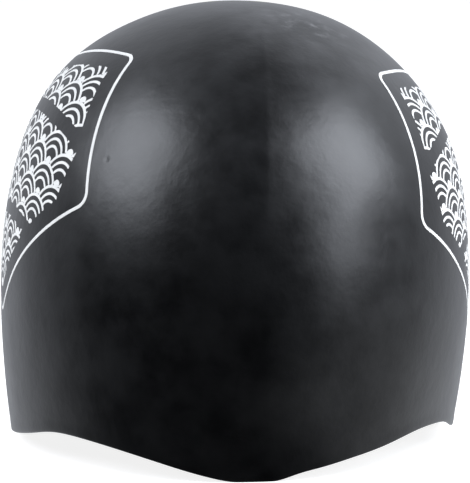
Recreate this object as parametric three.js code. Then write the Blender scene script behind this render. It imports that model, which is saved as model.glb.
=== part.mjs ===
// A reversible moulded silicone swim cap: one hollow dome with a thin wall and a rim of four lobes.
// Units are millimetres. +Z is up, -Y is the nape, +Y is the brow and X runs from ear to ear.
// The cap rests on Z = 0 by the lobes at its nape, its brow and its two ears.
import * as THREE from 'three';

// Driving dimensions
const WALL = 1.0;
const HEAD_CENTRE_HEIGHT = 51.3;
const CROWN_REACH = 91.8;

// How far the outer face lies from the head centre, to the left (-X), right, nape and brow.
// The angle is measured down from the crown, in degrees. The soft cap stands a little askew.
const REACH = [
  { angle: 0, left: CROWN_REACH, right: CROWN_REACH, nape: CROWN_REACH, brow: CROWN_REACH },
  { angle: 20, left: 91.1, right: 91.7, nape: 92.8, brow: 92.4 },
  { angle: 40, left: 88.7, right: 88.8, nape: 95.0, brow: 94.2 },
  { angle: 60, left: 81.8, right: 83.6, nape: 96.4, brow: 95.6 },
  { angle: 80, left: 77.2, right: 78.0, nape: 95.6, brow: 95.6 },
  { angle: 100, left: 78.0, right: 77.7, nape: 95.0, brow: 95.0 },
  { angle: 120, left: 86.4, right: 83.9, nape: 100.0, brow: 100.0 },
  { angle: 140, left: 102.0, right: 98.0, nape: 111.0, brow: 111.0 },
];

// How high the rim stands above the table on the left and the right, by the turn from the nape (0)
// past the ear (about 105) to the brow (180).
const RIM = [
  { turn: 0, left: 0, right: 0 },
  { turn: 4, left: 0, right: 0 },
  { turn: 9, left: 1.3, right: 2.0 },
  { turn: 14, left: 3.2, right: 3.5 },
  { turn: 20, left: 5.6, right: 5.2 },
  { turn: 30, left: 8.8, right: 7.7 },
  { turn: 40, left: 10.6, right: 10.1 },
  { turn: 50, left: 10.6, right: 10.4 },
  { turn: 60, left: 8.3, right: 8.6 },
  { turn: 72, left: 5.5, right: 4.7 },
  { turn: 82, left: 3.7, right: 4.2 },
  { turn: 88, left: 2.9, right: 3.1 },
  { turn: 94, left: 2.2, right: 1.9 },
  { turn: 99, left: 0.9, right: 0.8 },
  { turn: 103, left: 0, right: 0 },
  { turn: 109, left: 0, right: 0 },
  { turn: 120, left: 4.2, right: 4.2 },
  { turn: 138, left: 9.2, right: 9.2 },
  { turn: 156, left: 6.0, right: 6.0 },
  { turn: 170, left: 1.7, right: 1.7 },
  { turn: 175, left: 0, right: 0 },
  { turn: 180, left: 0, right: 0 },
];

// The rim's edge is a little thicker than the wall, with a flat underside and bevelled corners.
// The wall thickens over the last few degrees above it.
const EDGE_THICKNESS = 1.3;
const EDGE_TAPER_ANGLE = 2.4;
const EDGE_BEVEL = 0.2;

// Fineness of the faceted walls
const COLUMNS = 90;
const ROWS = 25;
const ROWS_IN_EDGE = 3;

// How the edge and the normals are worked out, with angles in degrees
const ANGLE_ABOVE_RIM = 60;
const HALVINGS = 40;
const NORMAL_STEP = 0.2;

const radians = THREE.MathUtils.degToRad;

// A natural cubic spline through the rows of a table, as a function of its first column
function splineThrough(xs, ys) {
  const last = xs.length - 1;
  const bend = new Array(xs.length).fill(0);
  const carry = new Array(xs.length).fill(0);
  for (let i = 1; i < last; i += 1) {
    const share = (xs[i] - xs[i - 1]) / (xs[i + 1] - xs[i - 1]);
    const pivot = share * bend[i - 1] + 2;
    const slopeAfter = (ys[i + 1] - ys[i]) / (xs[i + 1] - xs[i]);
    const slopeBefore = (ys[i] - ys[i - 1]) / (xs[i] - xs[i - 1]);
    bend[i] = (share - 1) / pivot;
    carry[i] = (6 * (slopeAfter - slopeBefore)) / (xs[i + 1] - xs[i - 1]);
    carry[i] = (carry[i] - share * carry[i - 1]) / pivot;
  }
  bend[last] = 0;
  for (let i = last - 1; i >= 0; i -= 1) {
    bend[i] = bend[i] * bend[i + 1] + carry[i];
  }
  return (x) => {
    let high = xs.findIndex((knot, i) => i > 0 && x <= knot);
    if (high < 0) high = last;
    const low = high - 1;
    const step = xs[high] - xs[low];
    const a = (xs[high] - x) / step;
    const b = (x - xs[low]) / step;
    const curve = (a ** 3 - a) * bend[low] + (b ** 3 - b) * bend[high];
    return a * ys[low] + b * ys[high] + (curve * step ** 2) / 6;
  };
}

// The same, with the table mirrored about its first row, so the curve is level there
function evenSpline(xs, ys) {
  const mirroredXs = xs.slice(1).reverse().map((x) => -x);
  const mirroredYs = ys.slice(1).reverse();
  return splineThrough([...mirroredXs, ...xs], [...mirroredYs, ...ys]);
}

const reachColumn = (name) => evenSpline(REACH.map((row) => row.angle), REACH.map((row) => row[name]));
const leftReach = reachColumn('left');
const rightReach = reachColumn('right');
const napeReach = reachColumn('nape');
const browReach = reachColumn('brow');

// Distance of the outer face from the head centre: a quarter ellipse between a side and an end
function reach(angle, turn) {
  const towardEnd = Math.cos(radians(turn));
  const towardSide = Math.sin(radians(turn));
  const side = towardSide > 0 ? rightReach(angle) : leftReach(angle);
  const end = towardEnd > 0 ? napeReach(angle) : browReach(angle);
  return 1 / Math.hypot(towardSide / side, towardEnd / end);
}

// The outer face at an angle down from the crown and a turn about it, 0 at the nape and 90 at +X
function outerPoint(angle, turn) {
  const distance = reach(angle, turn);
  const outward = distance * Math.sin(radians(angle));
  return new THREE.Vector3(
    outward * Math.sin(radians(turn)),
    -outward * Math.cos(radians(turn)),
    HEAD_CENTRE_HEIGHT + distance * Math.cos(radians(angle)),
  );
}

// The outward normal there, from small steps along and around the dome
function outerNormal(angle, turn) {
  const down = outerPoint(angle + NORMAL_STEP, turn).sub(outerPoint(angle - NORMAL_STEP, turn));
  const around = outerPoint(angle, turn + NORMAL_STEP).sub(outerPoint(angle, turn - NORMAL_STEP));
  return down.cross(around).normalize();
}

const rimColumn = (name) => evenSpline(RIM.map((row) => row.turn), RIM.map((row) => row[name]));
const leftRim = rimColumn('left');
const rightRim = rimColumn('right');

// Height of the rim, flat on the table along the lowest stretch of each lobe
function rimHeight(turn) {
  const height = turn > 180 ? leftRim(360 - turn) : rightRim(turn);
  return Math.max(0, height);
}

// The angle down from the crown at which the outer face is at a height, found by halving
function angleAtHeight(height, turn) {
  let above = ANGLE_ABOVE_RIM;
  let below = REACH.at(-1).angle;
  for (let i = 0; i < HALVINGS; i += 1) {
    const middle = (above + below) / 2;
    if (outerPoint(middle, turn).z > height) above = middle;
    else below = middle;
  }
  return above;
}

// The wall's section at one turn: down the outer face, under the edge and up the inner face
function wallSection(turn) {
  const height = rimHeight(turn);
  const edgeAngle = angleAtHeight(height + EDGE_BEVEL, turn);
  const taperStart = edgeAngle - EDGE_TAPER_ANGLE;
  const outer = [];
  const inner = [];
  for (let row = 1; row <= ROWS + ROWS_IN_EDGE; row += 1) {
    const inEdge = Math.max(0, row - ROWS) / ROWS_IN_EDGE;
    const angle = row <= ROWS ? (taperStart * row) / ROWS : taperStart + EDGE_TAPER_ANGLE * inEdge;
    const thickening = (EDGE_THICKNESS - WALL) * THREE.MathUtils.smoothstep(inEdge, 0, 1);
    const point = outerPoint(angle, turn);
    const normal = outerNormal(angle, turn);
    outer.push(point.clone().addScaledVector(normal, thickening / 2));
    inner.push(point.clone().addScaledVector(normal, -WALL - thickening / 2));
  }
  const inward = outerNormal(edgeAngle, turn).setZ(0).normalize().multiplyScalar(-EDGE_BEVEL);
  const outerFoot = outer.at(-1).clone().add(inward).setZ(height);
  const innerFoot = inner.at(-1).clone().sub(inward).setZ(height);
  return [...outer, outerFoot, innerFoot, ...inner.reverse()];
}

// The whole shell as one closed body: sections side by side, with a fan at each face's crown
function shellGeometry() {
  const points = [];
  const faces = [];
  const sections = [];
  for (let column = 0; column < COLUMNS; column += 1) {
    sections.push(wallSection((360 * column) / COLUMNS));
  }
  const length = sections[0].length;
  sections.forEach((section) => points.push(...section));
  const crown = outerPoint(0, 0);
  const outerCrown = points.push(crown) - 1;
  const innerCrown = points.push(crown.clone().setZ(crown.z - WALL)) - 1;
  for (let column = 0; column < COLUMNS; column += 1) {
    const here = column * length;
    const next = ((column + 1) % COLUMNS) * length;
    faces.push([outerCrown, here, next]);
    faces.push([innerCrown, next + length - 1, here + length - 1]);
    for (let row = 0; row < length - 1; row += 1) {
      faces.push([here + row, here + row + 1, next + row + 1]);
      faces.push([here + row, next + row + 1, next + row]);
    }
  }
  const geometry = new THREE.BufferGeometry().setFromPoints(points);
  geometry.setIndex(faces.flat());
  geometry.computeVertexNormals();
  return geometry;
}

// Black silicone, satin, as on both faces of the cap
const blackSilicone = new THREE.MeshStandardMaterial({
  name: 'black_silicone',
  color: 0x17181a,
  roughness: 0.42,
  metalness: 0,
});

const cap = new THREE.Group();
cap.name = 'reversible_swim_cap';
const shell = new THREE.Mesh(shellGeometry(), blackSilicone);
shell.name = 'cap_shell';
cap.add(shell);

export default cap;
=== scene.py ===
# A reversible moulded silicone swim cap, resting by its rim on a pale floor in soft studio light.
# The cap's outer face is worked out in millimetres and built in metres.
import math
from collections import Counter

import bpy
import numpy as np
from mathutils import Matrix, Vector


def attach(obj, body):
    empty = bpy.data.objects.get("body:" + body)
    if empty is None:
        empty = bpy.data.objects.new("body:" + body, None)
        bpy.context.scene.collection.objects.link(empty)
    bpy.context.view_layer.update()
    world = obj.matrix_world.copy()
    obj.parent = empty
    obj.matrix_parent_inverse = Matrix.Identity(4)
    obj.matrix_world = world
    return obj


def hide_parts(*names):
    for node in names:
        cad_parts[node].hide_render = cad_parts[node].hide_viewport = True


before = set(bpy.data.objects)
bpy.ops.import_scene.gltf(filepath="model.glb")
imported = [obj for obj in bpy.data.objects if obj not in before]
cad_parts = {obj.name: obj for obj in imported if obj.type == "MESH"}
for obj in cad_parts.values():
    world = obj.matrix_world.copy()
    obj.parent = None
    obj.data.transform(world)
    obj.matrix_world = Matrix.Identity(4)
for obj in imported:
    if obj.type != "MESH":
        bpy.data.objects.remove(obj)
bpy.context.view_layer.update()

MM = 0.001

# The cap's form, the same as the CAD part's
WALL = 1.0
EDGE_THICKNESS = 1.3
EDGE_TAPER_ANGLE = 2.4
HEAD_CENTRE_HEIGHT = 51.3
CROWN_REACH = 91.8

# How far the outer face lies from the head centre, by the angle down from the crown
REACH_COLUMNS = ("angle", "left", "right", "nape", "brow")
REACH = np.array([
    (0, CROWN_REACH, CROWN_REACH, CROWN_REACH, CROWN_REACH),
    (20, 91.1, 91.7, 92.8, 92.4),
    (40, 88.7, 88.8, 95.0, 94.2),
    (60, 81.8, 83.6, 96.4, 95.6),
    (80, 77.2, 78.0, 95.6, 95.6),
    (100, 78.0, 77.7, 95.0, 95.0),
    (120, 86.4, 83.9, 100.0, 100.0),
    (140, 102.0, 98.0, 111.0, 111.0),
])

# How high the rim stands on either side, by the turn from the nape (0) past the ear to the brow (180)
RIM_COLUMNS = ("turn", "left", "right")
RIM = np.array([
    (0, 0, 0),
    (4, 0, 0),
    (9, 1.3, 2.0),
    (14, 3.2, 3.5),
    (20, 5.6, 5.2),
    (30, 8.8, 7.7),
    (40, 10.6, 10.1),
    (50, 10.6, 10.4),
    (60, 8.3, 8.6),
    (72, 5.5, 4.7),
    (82, 3.7, 4.2),
    (88, 2.9, 3.1),
    (94, 2.2, 1.9),
    (99, 0.9, 0.8),
    (103, 0, 0),
    (109, 0, 0),
    (120, 4.2, 4.2),
    (138, 9.2, 9.2),
    (156, 6.0, 6.0),
    (170, 1.7, 1.7),
    (175, 0, 0),
    (180, 0, 0),
])

# The turns of the mesh's columns, close together near the nape where the ridge is
FINE_TURN, FINE_STEP = 12.0, 0.5
COARSE_STEP = 1.5
TURNS = np.concatenate([
    np.arange(-FINE_TURN, FINE_TURN, FINE_STEP),
    np.arange(FINE_TURN, 360 - FINE_TURN, COARSE_STEP),
])

# Fineness of the wall's section, and how the edge, the rim and the normals are worked out
ROWS = 104
ROWS_IN_EDGE = 6
ROWS_UNDER_EDGE = 7
ANGLE_ABOVE_RIM = 60.0
HALVINGS = 40
RIM_STEP = 1.0
NORMAL_STEP = 0.2

# The moulded face has slow waves of low relief. They and the ridge fade out over the last degrees
# above the rim.
WAVE_COUNT = 14
WAVE_HEIGHT = 0.07
WAVE_LENGTHS = (24.0, 60.0)
WAVE_SEED = 7
EDGE_FADE_ANGLE = 8.0

# A low ridge runs down the upper nape, where the silicone was folded. It leans a little:
# its X is given at one height, with its drift for each millimetre above that.
RIDGE_X = 5.0
RIDGE_AT_HEIGHT = 97.0
RIDGE_DRIFT = 0.056
RIDGE_HEIGHT = 0.26
RIDGE_HALF_WIDTH = 5.0
RIDGE_TIP_RADIUS = 0.3
RIDGE_FADES_BELOW = (60.0, 95.0)
RIDGE_FADES_TOWARD_CROWN = (-44.0, -28.0)


# The outer face


def even_spline(knots, values):
    """A natural cubic spline through a table mirrored about its first row."""
    x = np.concatenate([-knots[:0:-1], knots])
    y = np.concatenate([values[:0:-1], values])
    step = np.diff(x)
    slope = np.diff(y) / step
    system = np.eye(len(x))
    pull = np.zeros(len(x))
    for i in range(1, len(x) - 1):
        system[i, i - 1:i + 2] = step[i - 1], 2 * (step[i - 1] + step[i]), step[i]
        pull[i] = 6 * (slope[i] - slope[i - 1])
    bend = np.linalg.solve(system, pull)

    def curve(at):
        low = np.clip(np.searchsorted(x, at) - 1, 0, len(step) - 1)
        a = (x[low + 1] - at) / step[low]
        b = 1 - a
        swell = (a ** 3 - a) * bend[low] + (b ** 3 - b) * bend[low + 1]
        return a * y[low] + b * y[low + 1] + swell * step[low] ** 2 / 6

    return curve


def table_spline(table, columns, name):
    return even_spline(table[:, 0], table[:, columns.index(name)])


left_reach = table_spline(REACH, REACH_COLUMNS, "left")
right_reach = table_spline(REACH, REACH_COLUMNS, "right")
nape_reach = table_spline(REACH, REACH_COLUMNS, "nape")
brow_reach = table_spline(REACH, REACH_COLUMNS, "brow")
left_rim = table_spline(RIM, RIM_COLUMNS, "left")
right_rim = table_spline(RIM, RIM_COLUMNS, "right")


def directions(angle, turn):
    """Unit vectors from the head centre, at angles down from the crown and turns about it."""
    down, about = np.radians(angle), np.radians(turn)
    return np.stack([np.sin(down) * np.sin(about), -np.sin(down) * np.cos(about), np.cos(down)], axis=-1)


def smooth_face(angle, turn):
    """Points of the outer face without its low relief."""
    toward_end, toward_side = np.cos(np.radians(turn)), np.sin(np.radians(turn))
    side = np.where(toward_side > 0, right_reach(angle), left_reach(angle))
    end = np.where(toward_end > 0, nape_reach(angle), brow_reach(angle))
    reach = 1 / np.hypot(toward_side / side, toward_end / end)
    centre = np.array([0, 0, HEAD_CENTRE_HEIGHT])
    return centre + reach[..., None] * directions(angle, turn)


def face_normals(angle, turn):
    down = smooth_face(angle + NORMAL_STEP, turn) - smooth_face(angle - NORMAL_STEP, turn)
    around = smooth_face(angle, turn + NORMAL_STEP) - smooth_face(angle, turn - NORMAL_STEP)
    normal = np.cross(down, around)
    return normal / np.linalg.norm(normal, axis=-1, keepdims=True)


def smoothstep(low, high, x):
    t = np.clip((x - low) / (high - low), 0, 1)
    return t * t * (3 - 2 * t)


def wave_table():
    """Directions, lengths and starts of the slow waves in the moulded face."""
    random = np.random.default_rng(WAVE_SEED)
    headings = random.normal(size=(WAVE_COUNT, 3))
    headings /= np.linalg.norm(headings, axis=1, keepdims=True)
    lengths = random.uniform(*WAVE_LENGTHS, WAVE_COUNT)
    starts = random.uniform(0, math.tau, WAVE_COUNT)
    return headings, lengths, starts


WAVES = wave_table()


def waves(points):
    """Height of the slow waves over the smooth face."""
    headings, lengths, starts = WAVES
    phases = math.tau * points @ headings.T / lengths + starts
    return WAVE_HEIGHT * np.sin(phases).sum(axis=-1) / math.sqrt(WAVE_COUNT)


def ridge(points):
    """Height of the ridge over the smooth face."""
    x, y, z = points[..., 0], points[..., 1], points[..., 2]
    line = RIDGE_X + RIDGE_DRIFT * (z - RIDGE_AT_HEIGHT)
    away = np.hypot(x - line, RIDGE_TIP_RADIUS) - RIDGE_TIP_RADIUS
    extent = smoothstep(*RIDGE_FADES_BELOW, z) * (1 - smoothstep(*RIDGE_FADES_TOWARD_CROWN, y))
    return RIDGE_HEIGHT * np.exp(-away / RIDGE_HALF_WIDTH) * extent


def relief(points):
    """Height of the waves and the ridge over the smooth face."""
    return waves(points) + ridge(points)


def moulded_face(angle, turn, lift=0.0):
    """Points of the outer face with its low relief, lifted along the normal."""
    points = smooth_face(angle, turn)
    rise = relief(points) * smoothstep(0, 1, clearance_from_rim(angle, turn))
    return points + (rise + lift)[..., None] * face_normals(angle, turn)


def rim_height(turn):
    """Height of the rim above the floor, 0 along the lowest stretch of each lobe."""
    around = (turn + 180) % 360 - 180
    from_nape = np.abs(around)
    return np.maximum(0, np.where(around > 0, right_rim(from_nape), left_rim(from_nape)))


def angle_at_height(height, turn):
    """The angle down from the crown at which the outer face is at a height, found by halving."""
    above = np.full_like(turn, ANGLE_ABOVE_RIM)
    below = np.full_like(turn, REACH[-1, 0])
    for _ in range(HALVINGS):
        middle = (above + below) / 2
        higher = smooth_face(middle, turn)[..., 2] > height
        above = np.where(higher, middle, above)
        below = np.where(higher, below, middle)
    return above


RIM_TURNS = np.arange(0.0, 360.0 + RIM_STEP, RIM_STEP)
RIM_ANGLES = angle_at_height(rim_height(RIM_TURNS), RIM_TURNS)


def clearance_from_rim(angle, turn):
    """How far a point is above the rim, as a share of the angle over which the relief fades in."""
    rim_angle = np.interp(turn % 360, RIM_TURNS, RIM_ANGLES)
    return (rim_angle - angle) / EDGE_FADE_ANGLE


# Meshes


def new_object(name, vertices, faces, material):
    mesh = bpy.data.meshes.new(name)
    mesh.from_pydata((np.asarray(vertices) * MM).tolist(), [], faces)
    mesh.validate()
    mesh.shade_smooth()
    mesh.materials.append(material)
    piece = bpy.data.objects.new(name, mesh)
    bpy.context.scene.collection.objects.link(piece)
    return piece


def wall_sections():
    """The wall's section at each turn: down the outer face, round the edge and up the inner face."""
    heights = rim_height(TURNS)
    edge_radius = EDGE_THICKNESS / 2
    edge_angles = angle_at_height(heights + edge_radius, TURNS)
    taper_starts = edge_angles - EDGE_TAPER_ANGLE
    shares = np.arange(1, ROWS + 1) / ROWS
    in_edge = np.arange(1, ROWS_IN_EDGE + 1) / ROWS_IN_EDGE
    angles = np.concatenate([
        taper_starts[:, None] * shares,
        taper_starts[:, None] + EDGE_TAPER_ANGLE * in_edge,
    ], axis=1)
    about = np.broadcast_to(TURNS[:, None], angles.shape)
    taper = np.concatenate([np.zeros(ROWS), smoothstep(0, 1, in_edge)])
    thickening = (EDGE_THICKNESS - WALL) * taper
    outer = moulded_face(angles, about, thickening / 2)
    inner = moulded_face(angles, about, -WALL - thickening / 2)
    middle = (outer[:, -1] + inner[:, -1]) / 2
    across = outer[:, -1] - middle
    sweep = np.linspace(0, math.pi, ROWS_UNDER_EDGE + 2)[1:-1]
    drop = middle[:, 2] - heights
    under = middle[:, None] + np.cos(sweep)[:, None] * across[:, None]
    under[..., 2] -= np.sin(sweep) * drop[:, None]
    return np.concatenate([outer, under, inner[:, ::-1]], axis=1)


def build_shell(material):
    sections = wall_sections()
    columns, length = sections.shape[:2]
    crown = np.array([0, 0, HEAD_CENTRE_HEIGHT + CROWN_REACH])
    vertices = np.concatenate([sections.reshape(-1, 3), [crown, crown - [0, 0, WALL]]])
    outer_crown, inner_crown = columns * length, columns * length + 1
    faces = []
    for column in range(columns):
        here = column * length
        after = (column + 1) % columns * length
        faces.append((outer_crown, here, after))
        faces.append((inner_crown, after + length - 1, here + length - 1))
        for row in range(length - 1):
            faces.append((here + row, here + row + 1, after + row + 1, after + row))
    return new_object("silicone_shell", vertices, faces, material)


# The printed panels

# A panel's chart is measured in millimetres from its middle: across toward the nape, then up.
# It wraps onto the dome along great circles about the head centre.
CHART_RADIUS = 88.0
PANEL_CORNERS = ((0.0, -55.0), (62.0, 0.0), (34.5, 49.0), (-36.0, 36.5), (-62.0, -6.0))
PANEL_CORNER_RADIUS = 5.0
OUTLINE_WIDTH = 1.15
PATTERN_INSET = 6.8

# Three fields lie one above the other, parted by bare bands that curve about a far point below
BAND_CENTRE = np.array([0.0, -200.0])
FIELD_RADII = ((0.0, 182.0), (186.5, 218.5), (223.0, 300.0))
FIELD_HALF_WIDTH = 47.0

# Each field is filled with overlapping scales of concentric rings, each ring with its radius and
# width. Every other row is shifted by half the pitch, and a scale reaches two rows up and down.
SCALE_RADIUS = 11.0
SCALE_RINGS = ((10.3, 1.05), (7.8, 0.95), (5.3, 0.95))
SCALE_DOT = 1.9
SCALE_ROW = SCALE_RADIUS / 2
SCALE_PITCH = 2 * SCALE_RADIUS
ROWS_REACHED = 2

# The ink is a thin film, cut out of the chart in small cells. It stands proud of the silicone, and
# its root lies under the face.
INK_CELL = 0.34
INK_HEIGHT = 0.06
INK_ROOT = -0.05
PANEL_MARGIN = 2.0

# No corner of a cell counts as nearer to the ink's edge than this, so that no cut face is empty
LEAST_INK = 0.005

# Islands of ink up to this area in square millimetres are left out
SPECK_AREA = 2.5

# Keeps the way to a chart's own middle from being divided by zero
LEAST_DISTANCE = 1e-9

# Where each panel's middle sits, by its angle down from the crown and its turn from the nape
PANELS = {
    "print_left": {"angle": 60.0, "turn": -82.0},
    "print_right": {"angle": 68.0, "turn": 83.0},
}


def rounded_polygon_distance(points, corners, radius):
    """Signed distance to a convex polygon with rounded corners, negative inside."""
    corners = np.array(corners)
    following = np.roll(corners, -1, axis=0)
    along = following - corners
    along /= np.linalg.norm(along, axis=1, keepdims=True)
    outward = np.stack([along[:, 1], -along[:, 0]], axis=1)
    offsets = (corners * outward).sum(axis=1) - radius
    sharp = inset_corners(outward, offsets)
    inside = (points @ outward.T - offsets).max(axis=-1)
    nearest = np.full(points.shape[:-1], np.inf)
    for start, end in zip(sharp, np.roll(sharp, -1, axis=0)):
        edge = end - start
        share = np.clip(((points - start) @ edge) / (edge @ edge), 0, 1)
        gap = np.linalg.norm(points - start - share[..., None] * edge, axis=-1)
        nearest = np.minimum(nearest, gap)
    return np.where(inside > 0, nearest, inside) - radius


def inset_corners(outward, offsets):
    """Corners where each side's line meets the one before it."""
    corners = []
    for side in range(len(offsets)):
        pair = [side - 1, side]
        corners.append(np.linalg.solve(outward[pair], offsets[pair]))
    return np.array(corners)


def scale_rings(points):
    """Positive on the rings of overlapping scales, each row lying over the row above it."""
    ink = np.full(points.shape[:-1], -SCALE_RADIUS)
    covered = np.zeros(points.shape[:-1], dtype=bool)
    row_below = np.floor(points[..., 1] / SCALE_ROW)
    for step in range(-ROWS_REACHED, ROWS_REACHED + 1):
        row = row_below + step
        shift = np.where(row % 2 == 0, 0.0, SCALE_RADIUS)
        column = np.round((points[..., 0] - shift) / SCALE_PITCH)
        across = points[..., 0] - shift - column * SCALE_PITCH
        from_centre = np.hypot(across, points[..., 1] - row * SCALE_ROW)
        on_scale = (from_centre < SCALE_RADIUS) & ~covered
        rings = SCALE_DOT - from_centre
        for radius, width in SCALE_RINGS:
            rings = np.maximum(rings, width / 2 - np.abs(from_centre - radius))
        ink = np.where(on_scale, rings, ink)
        covered |= on_scale
    return ink


def panel_ink(points):
    """Positive where a panel is inked, on its outline and on the rings in its fields."""
    panel = rounded_polygon_distance(points, PANEL_CORNERS, PANEL_CORNER_RADIUS)
    outline = OUTLINE_WIDTH / 2 - np.abs(panel)
    from_below = np.linalg.norm(points - BAND_CENTRE, axis=-1)
    field = np.full(panel.shape, -CHART_RADIUS)
    for inner, outer in FIELD_RADII:
        field = np.maximum(field, np.minimum(from_below - inner, outer - from_below))
    field = np.minimum(field, -panel - PATTERN_INSET)
    field = np.minimum(field, FIELD_HALF_WIDTH - np.abs(points[..., 0]))
    ink = np.maximum(outline, np.minimum(field, scale_rings(points)))
    return np.where(np.abs(ink) < LEAST_INK, LEAST_INK, ink)


def chart_to_dome(points, angle, turn):
    """The angles and turns on the dome of a chart's points, with its middle at a given place."""
    middle = directions(np.array(angle), np.array(turn))
    nape_way = directions(np.array(90.0), np.array(turn - math.copysign(90.0, turn)))
    up_way = directions(np.array(angle - 90.0), np.array(turn))
    away = np.linalg.norm(points, axis=-1)
    bearing = points / np.maximum(away, LEAST_DISTANCE)[..., None]
    heading = bearing[..., :1] * nape_way + bearing[..., 1:] * up_way
    arc = (away / CHART_RADIUS)[..., None]
    toward = np.cos(arc) * middle + np.sin(arc) * heading
    down = np.degrees(np.arccos(np.clip(toward[..., 2], -1, 1)))
    return down, np.degrees(np.arctan2(toward[..., 0], -toward[..., 1]))


def chart_grid():
    """A grid of chart points that covers the panel and a narrow margin."""
    low = np.min(PANEL_CORNERS, axis=0) - PANEL_MARGIN
    high = np.max(PANEL_CORNERS, axis=0) + PANEL_MARGIN
    across = np.arange(low[0], high[0], INK_CELL)
    up = np.arange(low[1], high[1], INK_CELL)
    return np.stack(np.meshgrid(across, up, indexing="ij"), axis=-1)


def cut_out(grid, ink):
    """Polygons of the inked part of a grid: whole cells inside it, and cells cut along its edge."""
    corners = ((0, 0), (1, 0), (1, 1), (0, 1))
    points = []
    numbers = {}

    def number_of(key, point):
        if key not in numbers:
            numbers[key] = len(points)
            points.append(point)
        return numbers[key]

    def crossing(a, b):
        first, second = min(a, b), max(a, b)
        share = ink[first] / (ink[first] - ink[second])
        return number_of((first, second), grid[first] + share * (grid[second] - grid[first]))

    inked = ink > 0
    touched = inked[:-1, :-1] | inked[1:, :-1] | inked[1:, 1:] | inked[:-1, 1:]
    faces = []
    for column, row in np.argwhere(touched).tolist():
        cell = [(column + x, row + y) for x, y in corners]
        face = []
        for a, b in zip(cell, cell[1:] + cell[:1]):
            if inked[a]:
                face.append(number_of(a, grid[a]))
            if inked[a] != inked[b]:
                face.append(crossing(a, b))
        faces.append(face)
    return np.array(points), faces


def without_specks(points, faces):
    """The same points and polygons without the islands that are too small to print."""
    leaders = list(range(len(points)))

    def leader_of(number):
        while leaders[number] != number:
            leaders[number] = leaders[leaders[number]]
            number = leaders[number]
        return number

    for face in faces:
        for number in face[1:]:
            leaders[leader_of(number)] = leader_of(face[0])
    islands = Counter(leader_of(face[0]) for face in faces)
    most_cells = SPECK_AREA / INK_CELL ** 2
    kept = [face for face in faces if islands[leader_of(face[0])] > most_cells]
    used = sorted({number for face in kept for number in face})
    renumbered = {number: new for new, number in enumerate(used)}
    return points[used], [[renumbered[number] for number in face] for face in kept]


def edges_around(faces):
    """The directed edges that only one face has."""
    directed = set()
    for face in faces:
        directed.update(zip(face, face[1:] + face[:1]))
    return [(a, b) for a, b in directed if (b, a) not in directed]


def build_print(name, material):
    """A panel's ink: a closed film over the silicone, rooted just under its face."""
    grid = chart_grid()
    chart_points, faces = without_specks(*cut_out(grid, panel_ink(grid)))
    place = PANELS[name]
    angle, turn = chart_to_dome(chart_points, place["angle"], place["turn"])
    top = moulded_face(angle, turn, INK_HEIGHT)
    root = moulded_face(angle, turn, INK_ROOT)
    count = len(top)
    mirrored = place["turn"] > 0
    if mirrored:
        faces = [face[::-1] for face in faces]
    under = [[number + count for number in face[::-1]] for face in faces]
    walls = [(b, a, a + count, b + count) for a, b in sorted(edges_around(faces))]
    return new_object(name, np.concatenate([top, root]), faces + under + walls, material)


# Materials

# Nearly all of a noise texture's values lie between these
NOISE_LOW, NOISE_HIGH = 0.3, 0.7

# The silicone is cloudy in tint and gloss. The clouds and a fine grain give it low relief, whose
# height is in millimetres.
IOR = 1.41
CLOUDS = {"scale": 70, "detail": 5, "roughness": 0.6}
CLOUD_TINTS = ((0.0007, 0.0008, 0.0010), (0.0034, 0.0037, 0.0042))
CLOUD_ROUGHNESS = (0.34, 0.40)
CLOUD_SPECULAR = (0.44, 0.56)
CLOUD_RELIEF = {"height": 0.5, "strength": 0.5}
GRAIN = {"scale": 900, "detail": 3}
GRAIN_RELIEF = {"height": 0.03, "strength": 0.25}

# A small dent beside the left panel, up to the radius where it meets the face
DENT_PLACE = (-43.5, -64.6, 98.7)
DENT_RADIUS = 1.6
DENT_RELIEF = {"height": 0.11, "strength": 1.0}

# Pale patches painted into the silicone's tint, part dust and part painted sheen: smears at the right of
# the crown, finer flecks among them, and a faint smear low on the nape. Each fades out between two
# distances from its middle, and shows more where its noise is high.
PALE_DUST_AND_SHEEN = {
    "crown_smears": {
        "middle": (22.0, -14.0, 139.0), "full_within": 8.0, "gone_at": 56.0,
        "noise": {"scale": 70, "detail": 4, "roughness": 0.55}, "noise_range": (0.38, 0.76),
        "tint": (0.030, 0.030, 0.031),
    },
    "crown_flecks": {
        "middle": (22.0, -24.5, 137.2), "full_within": 3.0, "gone_at": 20.0,
        "noise": {"scale": 230, "detail": 6, "roughness": 0.7}, "noise_range": (0.45, 0.78),
        "tint": (0.085, 0.085, 0.087),
    },
    "nape_smear": {
        "middle": (17.0, -91.5, 25.0), "full_within": 2.0, "gone_at": 20.0,
        "noise": {"scale": 110, "detail": 4, "roughness": 0.6}, "noise_range": (0.0, 0.6),
        "tint": (0.010, 0.0103, 0.0106),
    },
}

# The ink is a little uneven in cover and gloss
COVER = {"scale": 160, "detail": 4}
COVER_TINTS = ((0.52, 0.52, 0.507), (0.605, 0.60, 0.58))
COVER_ROUGHNESS = (0.42, 0.52)
COVER_RELIEF = {"height": 0.04, "strength": 0.4}


def new_material(name):
    material = bpy.data.materials.new(name)
    material.use_nodes = True
    nodes = material.node_tree.nodes
    return material, nodes, material.node_tree.links, nodes["Principled BSDF"]


def noise(nodes, links, scale, detail, roughness=0.5):
    """A noise texture's values, by the place on the object."""
    place = nodes.new("ShaderNodeTexCoord")
    texture = nodes.new("ShaderNodeTexNoise")
    texture.inputs["Scale"].default_value = scale
    texture.inputs["Detail"].default_value = detail
    texture.inputs["Roughness"].default_value = roughness
    links.new(place.outputs["Object"], texture.inputs["Vector"])
    return texture.outputs["Fac"]


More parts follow.
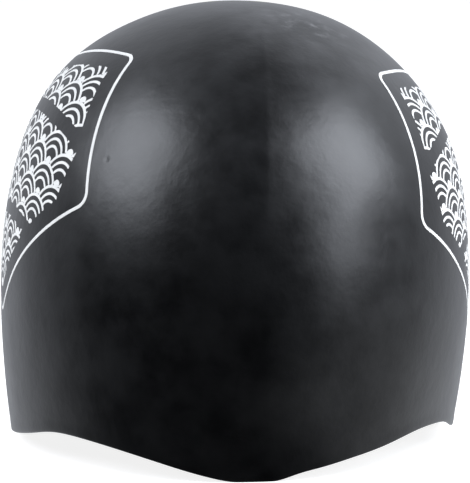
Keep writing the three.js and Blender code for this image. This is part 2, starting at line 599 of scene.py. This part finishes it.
def spread(nodes, links, value, low, high, start=NOISE_LOW, end=NOISE_HIGH):
    """A value between start and end, spread smoothly from low to high."""
    ramp = nodes.new("ShaderNodeMapRange")
    ramp.interpolation_type = "SMOOTHSTEP"
    ramp.inputs["From Min"].default_value = start
    ramp.inputs["From Max"].default_value = end
    ramp.inputs["To Min"].default_value = low
    ramp.inputs["To Max"].default_value = high
    links.new(value, ramp.inputs["Value"])
    return ramp.outputs["Result"]


def grey_between(nodes, links, value, dark, light):
    """A tint between a dark and a light one, by a noise value."""
    ramp = nodes.new("ShaderNodeValToRGB")
    ramp.color_ramp.elements[0].position = NOISE_LOW
    ramp.color_ramp.elements[0].color = (*dark, 1)
    ramp.color_ramp.elements[1].position = NOISE_HIGH
    ramp.color_ramp.elements[1].color = (*light, 1)
    links.new(value, ramp.inputs["Fac"])
    return ramp.outputs["Color"]


def math_node(nodes, links, operation, *values):
    """A Math node whose inputs are numbers or other nodes' outputs."""
    node = nodes.new("ShaderNodeMath")
    node.operation = operation
    for socket, value in zip(node.inputs, values):
        if isinstance(value, (int, float)):
            socket.default_value = value
        else:
            links.new(value, socket)
    return node.outputs["Value"]


def bump(nodes, links, value, height, strength, before=None):
    """Low relief over the relief before it. Its height is in millimetres for a value of 1."""
    relief_node = nodes.new("ShaderNodeBump")
    relief_node.inputs["Strength"].default_value = strength
    relief_node.inputs["Distance"].default_value = height * MM
    links.new(value, relief_node.inputs["Height"])
    if before is not None:
        links.new(before, relief_node.inputs["Normal"])
    return relief_node.outputs["Normal"]


def away_from(nodes, links, spot, near, far):
    """0 within one distance of a spot on the cap, rising to 1 at another."""
    place = nodes.new("ShaderNodeTexCoord")
    distance = nodes.new("ShaderNodeVectorMath")
    distance.operation = "DISTANCE"
    distance.inputs[1].default_value = [side * MM for side in spot]
    links.new(place.outputs["Object"], distance.inputs[0])
    return spread(nodes, links, distance.outputs["Value"], 0, 1, near * MM, far * MM)


def marked(nodes, links, tint, marks):
    """A tint with pale marks painted over it in patches near their middle: dust and painted sheen."""
    beyond = away_from(nodes, links, marks["middle"], marks["full_within"], marks["gone_at"])
    within = math_node(nodes, links, "SUBTRACT", 1.0, beyond)
    patches = noise(nodes, links, **marks["noise"])
    share = spread(nodes, links, patches, 0, 1, *marks["noise_range"])
    mix = nodes.new("ShaderNodeMix")
    mix.data_type = "RGBA"
    links.new(math_node(nodes, links, "MULTIPLY", share, within), mix.inputs["Factor"])
    links.new(tint, mix.inputs["A"])
    mix.inputs["B"].default_value = (*marks["tint"], 1)
    return mix.outputs["Result"]


def silicone_material():
    """Black silicone: satin, cloudy in tint and gloss, with a fine moulded grain."""
    material, nodes, links, shader = new_material("black_silicone")
    clouds = noise(nodes, links, **CLOUDS)
    grain = noise(nodes, links, **GRAIN)
    tint = grey_between(nodes, links, clouds, *CLOUD_TINTS)
    # Pale patches painted into the tint: dust, and painted sheen at the crown
    for marks in PALE_DUST_AND_SHEEN.values():
        tint = marked(nodes, links, tint, marks)
    links.new(tint, shader.inputs["Base Color"])
    links.new(spread(nodes, links, clouds, *CLOUD_ROUGHNESS), shader.inputs["Roughness"])
    links.new(spread(nodes, links, clouds, *CLOUD_SPECULAR), shader.inputs["Specular IOR Level"])
    shader.inputs["IOR"].default_value = IOR
    around_dent = away_from(nodes, links, DENT_PLACE, 0.0, DENT_RADIUS)
    dent = bump(nodes, links, around_dent, **DENT_RELIEF)
    lumps = bump(nodes, links, clouds, **CLOUD_RELIEF, before=dent)
    links.new(bump(nodes, links, grain, **GRAIN_RELIEF, before=lumps), shader.inputs["Normal"])
    return material


def ink_material():
    """White silicone ink: a satin film, a little uneven in cover and gloss."""
    material, nodes, links, shader = new_material("white_print")
    cover = noise(nodes, links, **COVER)
    links.new(grey_between(nodes, links, cover, *COVER_TINTS), shader.inputs["Base Color"])
    links.new(spread(nodes, links, cover, *COVER_ROUGHNESS), shader.inputs["Roughness"])
    shader.inputs["IOR"].default_value = IOR
    links.new(bump(nodes, links, cover, **COVER_RELIEF), shader.inputs["Normal"])
    return material


# Stage, light and camera

# The camera looks at the target from its distance, in millimetres. The image takes in the view's
# width there. The sensor spans the image's height, which is its longer side.
TARGET_HEIGHT = 63.7
CAMERA_DISTANCE = 1200.0
CAMERA_ELEVATION = 7.45
CAMERA_AZIMUTH = -3.9
CAMERA_ROLL = -0.6
IMAGE_WIDTH_PX = 470
IMAGE_HEIGHT_PX = 483
VIEW_WIDTH = 155
PX_PER_MM = IMAGE_WIDTH_PX / VIEW_WIDTH
SIDE_SHIFT_PX = 1.5
SENSOR = 36.0

# The floor, the softboxes and the far end of the view are in metres
VIEW_END = 60.0
FLOOR_HALF = 14.0
FLOOR_GLOW = 0.86
FLOOR_GREYS = (0.35, 0.357)
FLOOR_MOTTLE = {"scale": 6, "detail": 3}
FLOOR_ROUGHNESS = 0.9
WHITE = (1, 1, 1, 1)


def build_floor():
    material, nodes, links, shader = new_material("pale_floor")
    mottle = noise(nodes, links, **FLOOR_MOTTLE)
    dark, light = [(grey,) * 3 for grey in FLOOR_GREYS]
    links.new(grey_between(nodes, links, mottle, dark, light), shader.inputs["Base Color"])
    shader.inputs["Roughness"].default_value = FLOOR_ROUGHNESS
    shader.inputs["Emission Color"].default_value = WHITE
    shader.inputs["Emission Strength"].default_value = FLOOR_GLOW
    mesh = bpy.data.meshes.new("floor")
    corners = [(-1, -1), (1, -1), (1, 1), (-1, 1)]
    mesh.from_pydata([(x * FLOOR_HALF, y * FLOOR_HALF, 0) for x, y in corners], [], [(0, 1, 2, 3)])
    mesh.materials.append(material)
    floor = bpy.data.objects.new("floor", mesh)
    floor.visible_glossy = False
    bpy.context.scene.collection.objects.link(floor)


# Each softbox stands where the cap mirrors it toward the camera, by its azimuth and elevation. Its
# size is in metres and its power in watts.
SOFTBOX_COLUMNS = ("azimuth", "elevation", "width", "height", "power")
SOFTBOXES = {
    "left_softbox": (-79.3, 41.0, 0.73, 0.76, 17.3),
    "right_softbox": (73.0, 39.5, 0.66, 0.70, 18.4),
    "right_low_softbox": (57.0, 12.0, 0.50, 0.40, 4.1),
    "back_right_softbox": (128.0, 40.0, 0.90, 0.90, 1.8),
    "back_left_softbox": (-140.0, 54.0, 0.60, 0.60, 0.4),
}
SOFTBOX_DISTANCE = 1.1
SOFTBOX_COLOUR = (0.88, 0.92, 1.0)


def toward(azimuth, elevation):
    """A unit vector; azimuth 0 is toward the nape side and 90 toward +X."""
    return Vector(directions(np.array(90.0 - elevation), np.array(azimuth)).tolist())


def build_softboxes():
    middle = Vector((0, 0, TARGET_HEIGHT * MM))
    for name, row in SOFTBOXES.items():
        box = dict(zip(SOFTBOX_COLUMNS, row))
        lamp = bpy.data.lights.new(name, "AREA")
        lamp.shape = "RECTANGLE"
        lamp.size = box["width"]
        lamp.size_y = box["height"]
        lamp.energy = box["power"]
        lamp.color = SOFTBOX_COLOUR
        way = toward(box["azimuth"], box["elevation"])
        softbox = bpy.data.objects.new(name, lamp)
        softbox.location = middle + way * SOFTBOX_DISTANCE
        softbox.rotation_euler = way.to_track_quat("Z", "Y").to_euler()
        softbox.visible_camera = False
        bpy.context.scene.collection.objects.link(softbox)


# The room's light on the cap: pale from behind, faint from overhead and the right, and nearly none
# from the camera's side. Below the horizon the floor adds light from behind and the right. Each ramp
# runs along one axis of the direction, from nothing at its start to its strength at its end.
ROOM_COLOUR = (0.96, 1.0, 1.09)
ROOM_FRONT = 0.01
FLOOR_LIGHT_COLOUR = (0.98, 1.0, 1.01)
RAMP_COLUMNS = ("axis", "start", "end", "strength")
RAMPS = {
    "back": ("Y", -0.08, 0.9, 0.88),
    "overhead": ("Z", 0.72, 1.0, 0.11),
    "right": ("X", 0.5, 1.0, 0.35),
    "low_back": ("Y", -0.1, 0.6, 0.38),
    "low_right": ("X", 0.5, 1.0, 0.70),
    "below_horizon": ("Z", -0.10, -0.38, 1.0),
}


def build_room():
    """A room that the cap mirrors, while the camera itself sees plain white."""
    world = bpy.data.worlds.new("studio")
    bpy.context.scene.world = world
    world.use_nodes = True
    nodes, links = world.node_tree.nodes, world.node_tree.links
    nodes.clear()
    way = nodes.new("ShaderNodeTexCoord")
    parts = nodes.new("ShaderNodeSeparateXYZ")
    links.new(way.outputs["Generated"], parts.inputs["Vector"])

    def glow(name):
        ramp = dict(zip(RAMP_COLUMNS, RAMPS[name]))
        along = parts.outputs[ramp["axis"]]
        return spread(nodes, links, along, 0, ramp["strength"], ramp["start"], ramp["end"])

    def background(colour, strength):
        node = nodes.new("ShaderNodeBackground")
        node.inputs["Color"].default_value = (*colour, 1)
        links.new(strength, node.inputs["Strength"])
        return node.outputs["Background"]

    around = math_node(nodes, links, "ADD", glow("back"), glow("right"))
    above = math_node(nodes, links, "ADD", glow("overhead"), ROOM_FRONT)
    room = background(ROOM_COLOUR, math_node(nodes, links, "ADD", around, above))
    sides = math_node(nodes, links, "ADD", glow("low_back"), glow("low_right"))
    low = math_node(nodes, links, "MULTIPLY", sides, glow("below_horizon"))
    floor_light = background(FLOOR_LIGHT_COLOUR, low)
    lit = nodes.new("ShaderNodeAddShader")
    links.new(room, lit.inputs[0])
    links.new(floor_light, lit.inputs[1])
    seen = nodes.new("ShaderNodeBackground")
    seen.inputs["Color"].default_value = WHITE
    seen.inputs["Strength"].default_value = 1.0
    rays = nodes.new("ShaderNodeLightPath")
    choice = nodes.new("ShaderNodeMixShader")
    links.new(rays.outputs["Is Camera Ray"], choice.inputs["Fac"])
    links.new(lit.outputs["Shader"], choice.inputs[1])
    links.new(seen.outputs["Background"], choice.inputs[2])
    output = nodes.new("ShaderNodeOutputWorld")
    links.new(choice.outputs["Shader"], output.inputs["Surface"])


def build_camera():
    """A long lens at the photograph's angle, with its slight roll."""
    back = toward(CAMERA_AZIMUTH, CAMERA_ELEVATION)
    azimuth = math.radians(CAMERA_AZIMUTH)
    level = Vector((math.cos(azimuth), math.sin(azimuth), 0))
    raised = back.cross(level)
    roll = math.radians(CAMERA_ROLL)
    right = math.cos(roll) * level + math.sin(roll) * raised
    up = math.cos(roll) * raised - math.sin(roll) * level
    target = Vector((0, 0, TARGET_HEIGHT)) + right * (SIDE_SHIFT_PX / PX_PER_MM)
    camera = bpy.data.cameras.new("camera")
    camera.sensor_width = SENSOR
    camera.lens = SENSOR * CAMERA_DISTANCE * PX_PER_MM / IMAGE_HEIGHT_PX
    camera.clip_end = VIEW_END
    stand = bpy.data.objects.new("camera", camera)
    facing = Matrix((right, up, back)).transposed().to_4x4()
    stand.matrix_world = Matrix.Translation((target + back * CAMERA_DISTANCE) * MM) @ facing
    bpy.context.scene.collection.objects.link(stand)
    bpy.context.scene.camera = stand


def build_cap():
    silicone = silicone_material()
    ink = ink_material()
    shell = build_shell(silicone)
    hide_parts("cap_shell")
    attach(shell, "root")
    for name in PANELS:
        panel = build_print(name, ink)
        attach(panel, "root")


build_camera()
build_cap()
build_floor()
build_softboxes()
build_room()
bpy.context.scene.view_settings.view_transform = "Standard"
